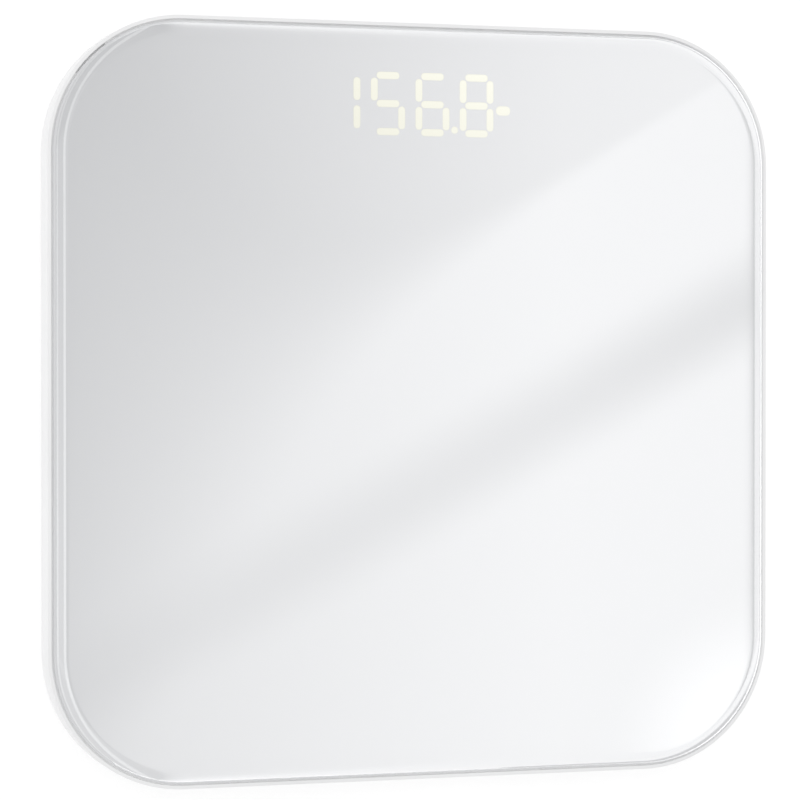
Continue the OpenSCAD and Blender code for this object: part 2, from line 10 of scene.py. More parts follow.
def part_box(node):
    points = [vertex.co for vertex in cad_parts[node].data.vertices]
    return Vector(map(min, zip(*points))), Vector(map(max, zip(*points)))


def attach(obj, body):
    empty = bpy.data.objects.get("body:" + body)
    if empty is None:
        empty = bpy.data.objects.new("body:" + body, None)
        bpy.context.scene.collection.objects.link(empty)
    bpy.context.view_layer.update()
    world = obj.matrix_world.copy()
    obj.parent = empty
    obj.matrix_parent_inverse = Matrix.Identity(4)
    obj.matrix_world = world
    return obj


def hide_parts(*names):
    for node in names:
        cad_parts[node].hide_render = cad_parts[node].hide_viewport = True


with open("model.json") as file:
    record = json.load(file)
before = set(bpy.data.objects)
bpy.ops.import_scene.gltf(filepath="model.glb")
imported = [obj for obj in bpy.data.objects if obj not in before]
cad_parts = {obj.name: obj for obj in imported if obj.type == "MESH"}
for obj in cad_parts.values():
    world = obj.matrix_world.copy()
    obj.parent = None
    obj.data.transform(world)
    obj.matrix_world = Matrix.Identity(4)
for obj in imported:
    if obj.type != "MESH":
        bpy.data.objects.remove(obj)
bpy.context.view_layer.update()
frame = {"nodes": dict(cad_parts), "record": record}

MM = 0.001
NODES = frame["nodes"]
BODY_OF = {n: b for b, names in frame["record"]["behaviour"]["bodies"].items() for n in names}
SLOT_OF = {row["node"]: row["material_slot"] for row in frame["record"]["subparts"]}
scene = bpy.context.scene
scene.view_settings.view_transform = "Standard"


def centre_of(node):
    low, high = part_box(node)
    return (low + high) / 2


# ---------- camera ----------

# The camera looks down at the face from a little to its left, with a long lens. Its height is
# taken from the rim, where the glass meets the tray.
TRAY_LOW, TRAY_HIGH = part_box("base_tray")
GLASS_LOW, GLASS_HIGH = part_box("glass_platform")
RIM_Z = TRAY_HIGH.z
CAMERA_AT = Vector((-356.7 * MM, 14.3 * MM, RIM_Z + 1073.2 * MM))
CAMERA_YAW = math.radians(18)
CAMERA_PITCH = math.radians(0.694)
LENS_MM = 137.4


def make_camera():
    data = bpy.data.cameras.new("camera")
    data.lens = LENS_MM
    data.sensor_width = 36
    data.clip_start = 0.05
    data.clip_end = 50
    camera = bpy.data.objects.new("camera", data)
    scene.collection.objects.link(camera)
    camera.location = CAMERA_AT
    camera.rotation_euler = (
        Matrix.Rotation(-CAMERA_YAW, 3, "Y") @ Matrix.Rotation(-CAMERA_PITCH, 3, "X")
    ).to_euler()
    scene.camera = camera


# ---------- node helpers ----------


class Shader:
    """A material under construction: makes nodes and links them."""

    def __init__(self, name):
        self.material = bpy.data.materials.new(name)
        self.material.use_nodes = True
        self.tree = self.material.node_tree
        self.bsdf = self.tree.nodes["Principled BSDF"]
        self.output = self.tree.nodes["Material Output"]
        self.coords = None

    def set(self, **values):
        for name, value in values.items():
            self.bsdf.inputs[name.replace("_", " ")].default_value = value
        return self

    def node(self, kind, **settings):
        made = self.tree.nodes.new("ShaderNode" + kind)
        for name, value in settings.items():
            if name in made.inputs:
                made.inputs[name].default_value = value
            else:
                setattr(made, name, value)
        return made

    def link(self, source, target):
        self.tree.links.new(source, target)

    def place(self):
        """Position on the object, in metres."""
        if self.coords is None:
            self.coords = self.node("TexCoord").outputs["Object"]
        return self.coords

    def noise(self, scale, detail=2.0, roughness=0.5):
        made = self.node("TexNoise", Scale=scale, Detail=detail, Roughness=roughness)
        self.link(self.place(), made.inputs["Vector"])
        return made.outputs["Fac"]

    def spread(self, source, low, high, from_low=0.3, from_high=0.7):
        made = self.node("MapRange")
        self.link(source, made.inputs["Value"])
        made.inputs["From Min"].default_value = from_low
        made.inputs["From Max"].default_value = from_high
        made.inputs["To Min"].default_value = low
        made.inputs["To Max"].default_value = high
        return made.outputs["Result"]

    def mix(self, factor, first, second):
        made = self.node("Mix", data_type="RGBA")
        self.link(factor, made.inputs["Factor"])
        colour_inputs = [s for s in made.inputs if s.type == "RGBA"]
        for socket, value in zip(colour_inputs, (first, second)):
            if isinstance(value, bpy.types.NodeSocket):
                self.link(value, socket)
            else:
                socket.default_value = (*value, 1)
        return next(s for s in made.outputs if s.type == "RGBA")

    def math(self, operation, first, second=None):
        made = self.node("Math", operation=operation)
        for socket, value in zip(made.inputs, (first, second)):
            if isinstance(value, bpy.types.NodeSocket):
                self.link(value, socket)
            elif value is not None:
                socket.default_value = value
        return made.outputs["Value"]

    def bump(self, height, distance, strength=1.0):
        made = self.node("Bump", Distance=distance, Strength=strength)
        self.link(height, made.inputs["Height"])
        self.link(made.outputs["Normal"], self.bsdf.inputs["Normal"])
        return self

    def colour(self, socket):
        self.link(socket, self.bsdf.inputs["Base Color"])
        return self

    def rough(self, socket):
        self.link(socket, self.bsdf.inputs["Roughness"])
        return self


class Value:
    """A number worked out by shader nodes; arithmetic on it adds nodes."""

    def __init__(self, shader, socket):
        self.shader = shader
        self.socket = socket

    def apply(self, operation, first, second=None):
        sockets = [v.socket if isinstance(v, Value) else v for v in (first, second)]
        return Value(self.shader, self.shader.math(operation, *sockets))

    def __add__(self, other):
        return self.apply("ADD", self, other)

    def __sub__(self, other):
        return self.apply("SUBTRACT", self, other)

    def __rsub__(self, other):
        return self.apply("SUBTRACT", other, self)

    def __mul__(self, other):
        return self.apply("MULTIPLY", self, other)

    def __truediv__(self, other):
        return self.apply("DIVIDE", self, other)

    def at_least(self, low):
        return self.apply("MAXIMUM", self, low)

    def at_most(self, high):
        return self.apply("MINIMUM", self, high)

    def size(self):
        return self.apply("ABSOLUTE", self)

    def root(self):
        return self.apply("SQRT", self)

    def exp(self):
        return self.apply("POWER", math.e, self)

    def smooth(self):
        """0 below 0, 1 above 1, and an easy slope between them."""
        made = self.shader.node("MapRange", interpolation_type="SMOOTHSTEP")
        self.shader.link(self.socket, made.inputs["Value"])
        return Value(self.shader, made.outputs["Result"])


def shade(colour, factor):
    return tuple(min(1.0, c * factor) for c in colour)


# ---------- materials ----------


def moulded(name, colour, roughness=0.42, grain_mm=0.25, depth_mm=0.006, variation=0.03):
    """Moulded plastic: spark-eroded grain, a slight change of tone and of gloss."""
    m = Shader(name)
    m.set(Specular_IOR_Level=0.45)
    tone = m.noise(14, detail=3)
    m.colour(m.mix(m.spread(tone, 0, 1), shade(colour, 1 - variation), shade(colour, 1 + variation / 2)))
    grain = m.noise(1 / (grain_mm * MM), detail=3, roughness=0.6)
    m.rough(m.spread(grain, roughness - 0.06, roughness + 0.08))
    m.bump(grain, depth_mm * MM)
    return m.material


def metal(name, colour, roughness, brushed=False):
    """Bare metal with fine drawing lines or a tumbled surface."""
    m = Shader(name)
    m.set(Metallic=1.0)
    stretch = m.node("Mapping")
    stretch.inputs["Scale"].default_value = (1, 14, 1) if brushed else (1, 1, 1)
    m.link(m.place(), stretch.inputs["Vector"])
    lines = m.node("TexNoise", Scale=900.0, Detail=3.0)
    m.link(stretch.outputs["Vector"], lines.inputs["Vector"])
    m.colour(m.mix(m.spread(lines.outputs["Fac"], 0, 1), shade(colour, 0.86), colour))
    m.rough(m.spread(lines.outputs["Fac"], roughness - 0.06, roughness + 0.1))
    m.bump(lines.outputs["Fac"], 0.002 * MM)
    return m.material


def foam(name, colour):
    m = Shader(name)
    m.set(Specular_IOR_Level=0.2)
    cells = m.node("TexVoronoi", Scale=2200.0)
    m.link(m.place(), cells.inputs["Vector"])
    # Painted shade: the colour is darker where each cell dips into a pit, the same places that the bump
    # makes low.
    m.colour(m.mix(m.spread(cells.outputs["Distance"], 0, 1, 0, 0.6), shade(colour, 0.7), colour))
    m.rough(m.spread(cells.outputs["Distance"], 0.8, 0.95, 0, 1))
    m.bump(cells.outputs["Distance"], 0.05 * MM)
    return m.material


def rubber(name, colour):
    m = Shader(name)
    m.set(Specular_IOR_Level=0.3)
    dust = m.noise(220, detail=5)
    m.colour(m.mix(m.spread(dust, 0, 1), colour, shade(colour, 1.35)))
    m.rough(m.spread(dust, 0.6, 0.82))
    m.bump(m.noise(1800, detail=2), 0.02 * MM)
    return m.material


def circuit_board(name):
    """Green solder mask over copper tracks, with tinned vias."""
    m = Shader(name)
    m.set(Specular_IOR_Level=0.5)
    tracks = m.node("TexBrick", Scale=1.0)
    m.link(m.place(), tracks.inputs["Vector"])
    tracks.inputs["Brick Width"].default_value = 6.5 * MM
    tracks.inputs["Row Height"].default_value = 1.1 * MM
    tracks.inputs["Mortar Size"].default_value = 0.16 * MM
    tracks.inputs["Mortar Smooth"].default_value = 0.2
    vias = m.node("TexVoronoi", Scale=330.0)
    m.link(m.place(), vias.inputs["Vector"])
    mask = m.mix(tracks.outputs["Fac"], (0.012, 0.12, 0.045), (0.03, 0.24, 0.09))
    via = m.math("LESS_THAN", vias.outputs["Distance"], 0.13)
    m.colour(m.mix(via, mask, (0.62, 0.6, 0.55)))
    m.rough(m.spread(m.noise(500), 0.28, 0.4))
    m.bump(tracks.outputs["Fac"], 0.03 * MM)
    return m.material


def stripes(name, first, second, pitch_mm, roughness):
    """Bands across X, as on a flat cable."""
    m = Shader(name)
    waves = math.tau / (20 * pitch_mm * MM)
    wave = m.node("TexWave", wave_type="BANDS", bands_direction="X", Scale=waves)
    m.link(m.place(), wave.inputs["Vector"])
    m.colour(m.mix(m.spread(wave.outputs["Fac"], 0, 1), first, second))
    m.rough(m.spread(wave.outputs["Fac"], roughness, roughness + 0.1))
    m.bump(wave.outputs["Fac"], 0.03 * MM)
    return m.material


def glass_material():
    """Polished tempered glass. The coat only makes it mirror more than bare glass: the cards can then
    be dim, and their reflections come out smooth at few samples."""
    m = Shader("platform_glass")
    m.set(Base_Color=(0.985, 0.992, 0.99, 1), Roughness=0.0, IOR=1.5, Transmission_Weight=1.0)
    m.set(Coat_Weight=1.0, Coat_Roughness=0.0, Coat_IOR=2.2)
    return m.material


PRINT_WHITE = (0.551, 0.5555, 0.569)


def print_material():
    """White enamel printed on the back of the glass."""
    m = Shader("white_print")
    m.set(Specular_IOR_Level=0.1)
    speck = m.noise(2600, detail=2)
    m.colour(m.mix(m.spread(speck, 0, 1), shade(PRINT_WHITE, 0.994), PRINT_WHITE))
    m.rough(m.spread(speck, 0.5, 0.6))
    return m.material


DIGIT_LIGHT = (1.0, 0.988, 0.815)


def light_material(name, strength):
    """Warm white light of the display, a little weaker towards the user."""
    m = Shader(name)
    m.set(Base_Color=(0.05, 0.05, 0.05, 1), Roughness=0.6, Specular_IOR_Level=0.0)
    m.set(Emission_Strength=strength)
    split = m.node("SeparateXYZ")
    m.link(m.place(), split.inputs["Vector"])
    middle, half = centre_of("display_housing").y, 12 * MM
    fall = m.spread(split.outputs["Y"], 0, 1, middle - half, middle + half)
    warm = m.mix(fall, shade(DIGIT_LIGHT, 0.93), DIGIT_LIGHT)
    m.link(warm, m.bsdf.inputs["Emission Color"])
    return m.material


def jacket_material():
    """Shrink jacket of a dry cell, dark and glossy."""
    m = Shader("battery_jacket")
    m.set(Coat_Weight=0.4, Coat_Roughness=0.1)
    speck = m.noise(300, detail=2)
    m.colour(m.mix(m.spread(speck, 0, 1), (0.022, 0.048, 0.12), (0.026, 0.055, 0.132)))
    m.rough(m.spread(speck, 0.24, 0.3))
    return m.material


def make_materials():
    white = (0.80, 0.802, 0.806)
    return {
        "tray_plastic": moulded("tray_plastic", white, roughness=0.4),
        "platform_glass": glass_material(),
        "white_print": print_material(),
        "white_foam": foam("white_foam", (0.75, 0.75, 0.74)),
        "board_green": circuit_board("board_green"),
        "display_white": moulded("display_white", (0.84, 0.84, 0.82), 0.5),
        "led_light": light_material("led_light", 0.79),
        "led_edge": light_material("led_edge", 0.66),
        "led_phosphor": moulded("led_phosphor", (0.92, 0.74, 0.2), 0.3, variation=0.08),
        "diffuser_sheet": moulded("diffuser_sheet", (0.86, 0.86, 0.85), 0.55, grain_mm=0.1),
        "screw_steel": metal("screw_steel", (0.74, 0.75, 0.77), 0.28),
        "chip_black": moulded("chip_black", (0.025, 0.025, 0.028), 0.45, grain_mm=0.15, variation=0.1),
        "component_tan": moulded("component_tan", (0.42, 0.3, 0.17), 0.4, grain_mm=0.5, variation=0.25),
        "connector_ivory": moulded("connector_ivory", (0.8, 0.76, 0.62), 0.45),
        "ribbon_grey": stripes("ribbon_grey", (0.78, 0.78, 0.8), (0.5, 0.5, 0.52), 1.0, 0.35),
        "battery_jacket": jacket_material(),
        "battery_band": metal("battery_band", (0.78, 0.48, 0.2), 0.3),
        "contact_nickel": metal("contact_nickel", (0.8, 0.78, 0.72), 0.2),
        "wire_red": moulded("wire_red", (0.55, 0.03, 0.02), 0.35, variation=0.08),
        "wire_black": moulded("wire_black", (0.02, 0.02, 0.02), 0.35, variation=0.08),
        "wire_grey": moulded("wire_grey", (0.7, 0.7, 0.7), 0.35, variation=0.06),
        "button_grey": moulded("button_grey", (0.45, 0.46, 0.48), 0.38),
        "dark_foam": foam("dark_foam", (0.07, 0.07, 0.07)),
        "cell_steel": metal("cell_steel", (0.62, 0.62, 0.6), 0.34, brushed=True),
        "gauge_silicone": rubber("gauge_silicone", (0.75, 0.75, 0.72)),
        "bracket_grey": moulded("bracket_grey", (0.36, 0.37, 0.39), 0.45),
        "foot_plastic": moulded("foot_plastic", (0.68, 0.69, 0.70), 0.42),
        "foot_rubber": rubber("foot_rubber", (0.1, 0.103, 0.108)),
    }


# ---------- mesh helpers ----------


def add(name, bm, materials, body, replaces=(), smooth=30):
    """Makes a piece from bm: smooth but for its sharp edges, riding on a body."""
    mesh = bpy.data.meshes.new(name)
    bmesh.ops.recalc_face_normals(bm, faces=bm.faces)
    bm.to_mesh(mesh)
    bm.free()
    for polygon in mesh.polygons:
        polygon.use_smooth = True
    mesh.set_sharp_from_angle(angle=math.radians(smooth))
    for material in materials:
        mesh.materials.append(material)
    piece = bpy.data.objects.new(name, mesh)
    scene.collection.objects.link(piece)
    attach(piece, body)
    if replaces:
        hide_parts(*replaces)
    return piece


def outline(width, depth, radius, inset, steps):
    """Points of a centred outline with round corners, anticlockwise from +X."""
    points = []
    for quarter in range(4):
        side_x = 1 if quarter in (0, 3) else -1
        side_y = 1 if quarter in (0, 1) else -1
        for k in range(steps + 1):
            a = math.radians(90 * (quarter + k / steps))
            points.append((
                side_x * (width / 2 - radius) + (radius - inset) * math.cos(a),
                side_y * (depth / 2 - radius) + (radius - inset) * math.sin(a),
            ))
    return points


def ring_of(bm, points, z):
    return [bm.verts.new((x, y, z)) for x, y in points]


def bridge(bm, low, high):
    """Band of faces between two rings of equal length."""
    n = len(low)
    return [bm.faces.new((low[k], low[(k + 1) % n], high[(k + 1) % n], high[k])) for k in range(n)]


def join(bm, low, high):
    """Band between two rings, or a fan where one of them is a single point."""
    if len(low) == len(high):
        return bridge(bm, low, high)
    point, ring = (low[0], high) if len(low) == 1 else (high[0], low)
    return [bm.faces.new((a, b, point)) for a, b in zip(ring, ring[1:] + ring[:1])]


def skin(bm, rings, material=0):
    """Closed surface through rings of equal length; its last face closes the first ring."""
    faces = [face for low, high in zip(rings, rings[1:]) for face in bridge(bm, low, high)]
    faces += [bm.faces.new(rings[-1]), bm.faces.new(list(reversed(rings[0])))]
    for face in faces:
        face.material_index = material
    return faces


def lathe(bm, profile, centre, axis="Z", direction=1, segments=64):
    """Turns (radius, height, material) points, in millimetres, about an axis through centre."""
    rings = []
    for radius, height, _ in profile:
        ring = []
        for k in range(segments if radius else 1):
            a = math.tau * k / segments
            u, v = radius * MM * math.cos(a), radius * MM * math.sin(a)
            along = direction * height * MM
            ring.append(bm.verts.new(centre + Vector((along, u, v) if axis == "X" else (u, v, along))))
        rings.append(ring)
    for low, high, (_, _, material) in zip(rings, rings[1:], profile[1:]):
        for face in join(bm, low, high):
            face.material_index = material


def soft_block(bm, size, corner, edge, place, material=0):
    """Block that stands on its place, with round corners and broken edges, in millimetres."""
    width, depth, height = size
    rings = []
    for level, inset in ((0, edge), (edge, 0), (height - edge, 0), (height, edge)):
        points = outline(width * MM, depth * MM, corner * MM, inset * MM, 3)
        rings.append([bm.verts.new(place @ Vector((x, y, level * MM))) for x, y in points])
    skin(bm, rings, material)


def strap(bm, points, width, thickness, place, material=0):
    """Bent flat strip: its (out, up) points run along X and Z, its width along Y, in millimetres."""
    rings = []
    for k, (out, up) in enumerate(points):
        before, after = points[max(k - 1, 0)], points[min(k + 1, len(points) - 1)]
        along = Vector((after[0] - before[0], after[1] - before[1])).normalized()
        lift = Vector((-along.y, along.x)) * thickness / 2
        rings.append([
            bm.verts.new(place @ (Vector((out + s * lift.x, t * width / 2, up + s * lift.y)) * MM))
            for s, t in ((-1, -1), (-1, 1), (1, 1), (1, -1))
        ])
    skin(bm, rings, material)


def smooth_path(points, steps=6):
    """Curve through the points."""
    ends = [points[0], *points, points[-1]]
    path = []
    for p0, p1, p2, p3 in zip(ends, ends[1:], ends[2:], ends[3:]):
        for k in range(steps):
            t = k / steps
            path.append(0.5 * (
                2 * p1 + (p2 - p0) * t + (2 * p0 - 5 * p1 + 4 * p2 - p3) * t ** 2
                + (p3 - p0 - 3 * p2 + 3 * p1) * t ** 3
            ))
    return path + [points[-1]]


def frames(path, up=Vector((0, 0, 1))):
    """Directions to the side and up at each point of a path, carried along without twisting."""
    made = []
    for k in range(len(path)):
        ahead = (path[min(k + 1, len(path) - 1)] - path[max(k - 1, 0)]).normalized()
        side = ahead.cross(up).normalized()
        up = side.cross(ahead)
        made.append((side, up))
    return made


def tube(bm, path, radius, sides=12, material=0, up=Vector((0, 0, 1))):
    """Round tube along a path, in metres, closed at both ends."""
    angles = [math.tau * k / sides for k in range(sides)]
    rings = [
        [bm.verts.new(at + radius * (side * math.cos(a) + over * math.sin(a))) for a in angles]
        for at, (side, over) in zip(path, frames(path, up))
    ]
    skin(bm, rings, material)


def centre_line(node):
    """Middle of each ring of a swept CAD node, from one end to the other."""
    bm = refined(node, 0)
    ring = list(max(bm.faces, key=lambda face: len(face.verts)).verts)
    seen, middles = set(), []
    while ring:
        middles.append(sum((v.co for v in ring), Vector()) / len(ring))
        seen.update(ring)
        last = set(ring)
        ring = [
            v for v in bm.verts
            if v not in seen and any(e.other_vert(v) in last for e in v.link_edges)
        ]
    bm.free()
    return middles


def refined(node, bevel_mm, min_angle=40, segments=2, pick=None):
    """Copy of a CAD node with its facets made whole and its sharp edges broken."""
    bm = bmesh.new()
    bm.from_mesh(NODES[node].data)
    bmesh.ops.remove_doubles(bm, verts=bm.verts, dist=0.001 * MM)
    bmesh.ops.dissolve_limit(
        bm, angle_limit=math.radians(0.5), use_dissolve_boundaries=False, verts=bm.verts, edges=bm.edges
    )
    if bevel_mm:
        sharp = [
            e for e in bm.edges
            if len(e.link_faces) == 2 and e.calc_face_angle(0) > math.radians(min_angle)
            and (pick is None or pick(e))
        ]
        bmesh.ops.bevel(
            bm, geom=sharp, offset=bevel_mm * MM, segments=segments, profile=0.5,
            affect="EDGES", clamp_overlap=True,
        )
    return bm


def piece_of(node, bm, materials, extra=(), smooth=30):
    """Makes the piece that stands for a CAD node, in the node's own slot."""
    own = SLOT_OF[node]
    used = [materials[slot] for slot in (own, *extra)]
    return add(node + "_piece", bm, used, BODY_OF[node], [node], smooth)


def named(start):
    return sorted(node for node in NODES if node.startswith(start))


# ---------- glass ----------

SHOULDER_W = 5 * MM
SHOULDER_DROP = GLASS_HIGH.z - RIM_Z
GLASS_CORNER = 48 * MM
CORNER_STEPS = 28
PRINT_GAP = 0.03 * MM


def glass_bmesh():
    """Tempered glass whose edge falls away in a quarter of an ellipse, with a printed back face."""
    width, depth = (GLASS_HIGH - GLASS_LOW).x, (GLASS_HIGH - GLASS_LOW).y
    arris, steps, flat = 0.3 * MM, 24, 0.6 * MM
    levels = [(GLASS_LOW.z, arris), (GLASS_LOW.z + arris, 0)]
    for k in range(steps, -1, -1):
        a = math.pi / 2 * k / steps
        levels.append((GLASS_HIGH.z - SHOULDER_DROP * (1 - math.cos(a)), SHOULDER_W * (1 - math.sin(a))))
    levels.append((GLASS_HIGH.z, SHOULDER_W + flat))
    bm = bmesh.new()
    rings = [
        ring_of(bm, outline(width, depth, GLASS_CORNER, inset, CORNER_STEPS), z) for z, inset in levels
    ]
    back = skin(bm, rings)[-1]
    back.material_index = 1
    return bm


def make_glass(materials):
    piece = add(
        "platform", glass_bmesh(), [materials["platform_glass"], materials["white_print"]],
        "chassis", ["glass_platform"], smooth=25,
    )
    # Light reaches the print through the glass without being bent
    piece.visible_shadow = False
    piece.visible_diffuse = False
    return piece


def make_print_layer(materials):
    """The print's own thickness, just under the glass."""
    low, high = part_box("print_film")
    width, depth = (high - low).x, (high - low).y
    radius = GLASS_CORNER - (GLASS_HIGH.x - high.x)
    bm = bmesh.new()
    edge = outline(width, depth, radius, 0, CORNER_STEPS)
    skin(bm, [ring_of(bm, edge, z) for z in (low.z, high.z - PRINT_GAP)])
    add("print_layer", bm, [materials["white_print"]], "chassis", ["print_film"])


# ---------- lit digits ----------

BAR_W = 2.4 * MM
DIGIT_W, DIGIT_H = 13 * MM, 23.1 * MM
DIGIT_PITCH = 17.3 * MM
FIRST_DIGIT_X = -29.8 * MM
POINT_Y, POINT_D = -9.2 * MM, 2.4 * MM
UNIT_X, UNIT_Y, UNIT_L, UNIT_W = 10.5 * MM, -1.6 * MM, 5.4 * MM, 3.2 * MM
LIT = {
    "1": "bc",
    "5": "afgcd",
    "6": "afgecd",
    "8": "abcdefg",
}
READING = "1568"


def bar_outline(centre, length, upright, width=BAR_W):
    """Strip with round ends; the points run anticlockwise."""
    half, r = (length - width) / 2, width / 2
    points = []
    for side in (1, -1):
        for k in range(13):
            a = math.radians(-90 + 15 * k) + (0 if side > 0 else math.pi)
            x, y = side * half + r * math.cos(a), r * math.sin(a)
            points.append((centre[0] - y, centre[1] + x) if upright else (centre[0] + x, centre[1] + y))
    return points


def bar_places(digit_x):
    """Centre, length and direction of the seven bars of a digit, by letter."""
    bx, by = (DIGIT_W - BAR_W) / 2, (DIGIT_H - BAR_W) / 2
    across, along = 2 * bx - 0.85 * BAR_W, by - 0.9 * BAR_W
    return {
        "a": ((digit_x, by), across, False),
        "g": ((digit_x, 0), across, False),
        "d": ((digit_x, -by), across, False),
        "f": ((digit_x - bx, by / 2), along, True),
        "b": ((digit_x + bx, by / 2), along, True),
        "e": ((digit_x - bx, -by / 2), along, True),
        "c": ((digit_x + bx, -by / 2), along, True),
    }


def lit_outlines(grow=0.0):
    """Outlines of everything that is lit, round the display's centre."""
    shapes = []
    for k, figure in enumerate(READING):
        places = bar_places(FIRST_DIGIT_X + k * DIGIT_PITCH)
        for letter in LIT[figure]:
            centre, length, upright = places[letter]
            shapes.append(bar_outline(centre, length + 2 * grow, upright, BAR_W + 2 * grow))
    point = (FIRST_DIGIT_X + 2.5 * DIGIT_PITCH, POINT_Y)
    shapes.append(bar_outline(point, POINT_D + 2 * grow, False, 0.999 * POINT_D + 2 * grow))
    unit = (FIRST_DIGIT_X + 3 * DIGIT_PITCH + UNIT_X, UNIT_Y)
    shapes.append(bar_outline(unit, UNIT_L + 2 * grow, False, UNIT_W + 2 * grow))
    return shapes


def slabs(bm, shapes, origin, low, high):
    """Raises each outline into a thin slab."""
    for points in shapes:
        placed = [(origin.x + x, origin.y + y) for x, y in points]
        skin(bm, [ring_of(bm, placed, z) for z in (low, high)])


def make_digits(materials):
    """Bars of light that shine through the print, each over a wider and weaker glow."""
    centre = centre_of("display_housing")
    centre.x = 0
    step = 0.02 * MM
    layers = (
        ("lit_digits", "led_light", 0.0, 3),
        ("lit_edges", "led_edge", 0.16 * MM, 2),
    )
    for name, material, grow, level in layers:
        bm = bmesh.new()
        low = GLASS_LOW.z + level * step
        slabs(bm, lit_outlines(grow), centre, low, low + 0.8 * step)
        piece = add(name, bm, [materials[material]], "chassis")
        piece.visible_shadow = False
        piece.visible_diffuse = False


# ---------- tray, door and button ----------


def make_tray(materials):
    low_edge = TRAY_LOW.z + 0.6 * MM

    def under(edge):
        return max(v.co.z for v in edge.verts) < low_edge

    piece_of("base_tray", refined("base_tray", 0.25, pick=under), materials, smooth=40)


def make_button(materials):
    """Round button with a dished face, a collar that keeps it in its hole and a stem to the switch."""
    centre = centre_of("unit_button")
    centre.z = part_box("unit_button")[0].z
    height = (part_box("unit_button")[1].z - centre.z) / MM
    collar = 2.0
    profile = [
        (0, 0.22), (2.4, 0.18), (3.6, 0.06), (4.2, 0), (4.7, 0.05), (4.93, 0.2), (5, 0.45), (5, collar),
        (6.5, collar), (6.7, collar + 0.15), (6.7, collar + 0.65), (6.5, collar + 0.8), (2.2, collar + 0.8),
        (2, collar + 1.0), (2, height - 0.2), (1.8, height), (0, height),
    ]
    bm = bmesh.new()
    lathe(bm, [(r, h, 0) for r, h in profile], centre)
    piece_of("unit_button", bm, materials, smooth=35)


# ---------- feet and load cells ----------

TREAD = [3.0, 6.6, 7.6, 10.8, 11.8, 15.4]
TREAD_DEPTH = 0.5


def make_pad(node, materials):
    """Rubber pad with ring-shaped treads."""
    low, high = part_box(node)
    centre = Vector(((low.x + high.x) / 2, (low.y + high.y) / 2, low.z))
    radius, height = (high.x - low.x) / 2 / MM, (high.z - low.z) / MM
    profile = [(0, TREAD_DEPTH)]
    for k, r in enumerate(TREAD):
        lean = 0.15 if k % 2 else -0.15
        steps = [(r + lean, TREAD_DEPTH), (r - lean, 0)]
        profile += reversed(steps) if k % 2 else steps
    profile += [(radius - 1.2, TREAD_DEPTH), (radius - 0.4, 0.6), (radius, 1.0)]
    profile += [(radius, height), (0, height)]
    bm = bmesh.new()
    lathe(bm, [(r, h, 0) for r, h in profile], centre)
    piece_of(node, bm, materials, smooth=25)


def make_gauge(node, materials):
    """Strain gauge under a pillow of silicone."""
    low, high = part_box(node)
    centre = (low + high) / 2
    width, depth, height = (high - low) / MM
    bm = bmesh.new()
    rings = []
    steps = 6
    for k in range(steps + 1):
        a = math.pi / 2 * k / steps
        inset = (1 - math.cos(a)) * depth * 0.48
        points = outline(width * MM, depth * MM, depth * 0.49 * MM, inset * MM, 5)
        level = low.z + height * MM * math.sin(a)
        rings.append(ring_of(bm, [(centre.x + x, centre.y + y) for x, y in points], level))
    skin(bm, rings)
    piece_of(node, bm, materials, smooth=60)


STRAND_R, STRAND_OFFSET, STRAND_TWIST = 0.45 * MM, 0.52 * MM, 16 * MM


def make_cell_leads(node, materials):
    """Red, black and white wires of a load cell, twisted together."""
    path = smooth_path(centre_line(node))
    walked = [0.0]
    for a, b in zip(path, path[1:]):
        walked.append(walked[-1] + (b - a).length)
    bm = bmesh.new()
    for strand in range(3):
        line = []
        for at, gone, (side, up) in zip(path, walked, frames(path)):
            turn = math.tau * (strand / 3 + gone / STRAND_TWIST)
            line.append(at + STRAND_OFFSET * (side * math.cos(turn) + up * math.sin(turn)))
        tube(bm, line, STRAND_R, 8, strand)
    piece_of(node, bm, materials, ("wire_red", "wire_black"), smooth=60)


# ---------- batteries ----------

BATTERIES = ("battery_1", "battery_2", "battery_3")
JACKET, METAL, BAND = 0, 1, 2
CELL_PROFILE = [
    (0, 0.3, METAL), (3.3, 0.3, METAL), (3.8, 0.02, METAL), (4.5, 0, METAL), (4.8, 0.25, METAL),
    (4.95, 0.2, JACKET), (5.25, 0.6, JACKET), (5.25, 31, JACKET), (5.25, 31.8, METAL), (5.25, 42.9, BAND),
    (5.05, 43.4, BAND), (4.7, 43.3, METAL), (4.3, 43.5, METAL), (2.6, 43.5, METAL), (2.0, 43.3, METAL),
    (1.8, 43.6, METAL), (1.75, 44.3, METAL), (1.5, 44.5, METAL), (0, 44.5, METAL),
]


def nub_side(battery):
    """1 where the cell's nub points to +X, -1 where it points to -X: each cell is off centre towards
    the plate that its nub touches."""
    return 1 if centre_of(battery).x > 0 else -1


def make_battery(node, materials):
    centre = centre_of(node)
    half = CELL_PROFILE[-1][1] / 2
    bm = bmesh.new()
    lathe(bm, [(r, h - half, m) for r, h, m in CELL_PROFILE], centre, "X", nub_side(node))
    piece_of(node, bm, materials, ("contact_nickel", "battery_band"))


CONTACT_W, CONTACT_H, CONTACT_T = 9, 8, 0.4
PRESSED_RING = [(2.5, 0.35), (2.6, 0.65), (2.9, 0.75), (3.2, 0.65), (3.3, 0.35), (2.5, 0.35)]
SPRING_WIDE, SPRING_NARROW, SPRING_WIRE, SPRING_TURNS = 3.4, 2.4, 0.35, 4


def facing(at, side):
    """Place whose up is +X or -X."""
    return Matrix.Translation(at) @ Matrix.Rotation(side * math.pi / 2, 4, "Y")


